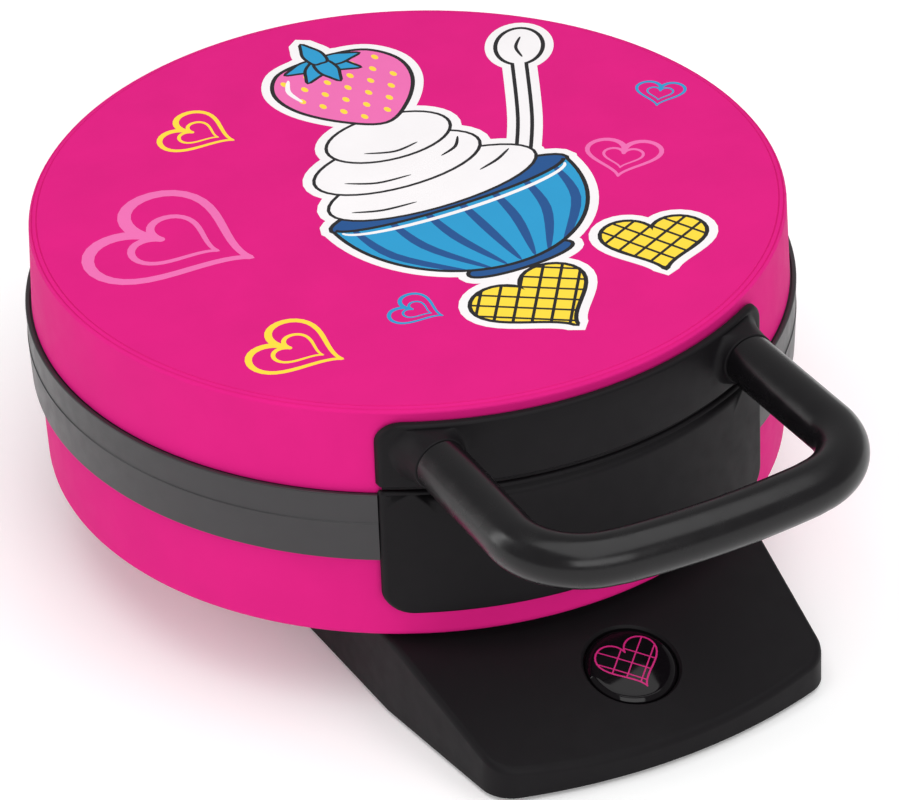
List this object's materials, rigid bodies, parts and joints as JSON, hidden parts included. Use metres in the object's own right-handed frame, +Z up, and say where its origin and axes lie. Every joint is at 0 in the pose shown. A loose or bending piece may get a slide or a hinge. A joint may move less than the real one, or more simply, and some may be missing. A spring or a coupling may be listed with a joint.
{
  "type": "waffle maker",
  "caption": "Round countertop waffle maker: drum-shaped hinged lid over gridded plates, U-shaped front handle, wedge-shaped console with an indicator lens.",
  "frame": {"origin": "centre of the closed object's footprint box, on the surface it stands on", "axes": "+Z up, -Y towards the handle and the user, +Y towards the hinge, +X to the user's right"},
  "size_m": [0.1932, 0.271, 0.0912],
  "materials": {
    "magenta_plastic": "satin moulded, printed lid",
    "band_plastic": "semi-gloss charcoal",
    "black_plastic": "matte black with a fine texture",
    "handle_plastic": "satin black",
    "nonstick_aluminium": "cast, dark non-stick coating",
    "element_steel": "heat-tinted steel",
    "bright_aluminium": "bright sheet",
    "screw_steel": "zinc plated",
    "foot_rubber": "matte rubber",
    "lens_plastic": "gloss black",
    "lamp_glass": "tinted neon lamp",
    "white_plastic": "off-white insulating plastic",
    "sleeve_fibre": "braided insulating sleeve"
  },
  "bodies": {
    "base": {"base_console": "black_plastic", "bottom_cover": "black_plastic", "base_screw_1": "screw_steel", "base_screw_2": "screw_steel", "base_screw_3": "screw_steel", "base_screw_4": "screw_steel", "rubber_foot_1": "foot_rubber", "rubber_foot_2": "foot_rubber", "rubber_foot_3": "foot_rubber", "rubber_foot_4": "foot_rubber", "indicator_lens": "lens_plastic", "lamp_tray": "white_plastic", "indicator_lamp": "lamp_glass", "cord_gland": "black_plastic", "terminal_block": "white_plastic", "lower_shell": "magenta_plastic", "rim_ring": "band_plastic", "front_cover": "black_plastic", "housing_screw_1": "screw_steel", "housing_screw_2": "screw_steel", "housing_screw_3": "screw_steel", "lower_plate": "nonstick_aluminium", "lower_plate_screw_1": "screw_steel", "lower_plate_screw_2": "screw_steel", "lower_plate_screw_3": "screw_steel", "lower_element": "element_steel", "lower_element_strap": "bright_aluminium", "lower_strap_screw": "screw_steel", "lower_reflector": "bright_aluminium", "thermostat": "white_plastic", "thermal_fuse": "element_steel", "supply_wire": "white_plastic", "lamp_wire": "white_plastic", "lid_lead_lower": "sleeve_fibre", "hinge_base_bracket": "black_plastic", "hinge_pin_left": "screw_steel", "hinge_pin_right": "screw_steel", "hinge_base_screw_left": "screw_steel", "hinge_base_screw_right": "screw_steel"},
    "lid": {"lid_shell": "magenta_plastic", "lid_rim_ring": "black_plastic", "lid_screw_1": "screw_steel", "lid_screw_2": "screw_steel", "lid_screw_3": "screw_steel", "lid_lead_upper": "sleeve_fibre", "handle_bracket": "black_plastic", "handle": "handle_plastic", "handle_screw_left": "screw_steel", "handle_screw_right": "screw_steel", "upper_plate": "nonstick_aluminium", "upper_plate_screw_1": "screw_steel", "upper_plate_screw_2": "screw_steel", "upper_plate_screw_3": "screw_steel", "upper_element": "element_steel", "upper_element_strap": "bright_aluminium", "upper_strap_screw": "screw_steel", "upper_reflector": "bright_aluminium", "hinge_lid_bracket": "black_plastic", "hinge_lid_screw_left": "screw_steel", "hinge_lid_screw_right": "screw_steel"}
  },
  "joints": [
    {"name": "lid_hinge", "type": "hinge", "parent": "base", "child": "lid", "pos_m": [0, 0.12545, 0.066], "axis": [-1, 0, 0], "range_deg": [0, 105]}
  ]
}
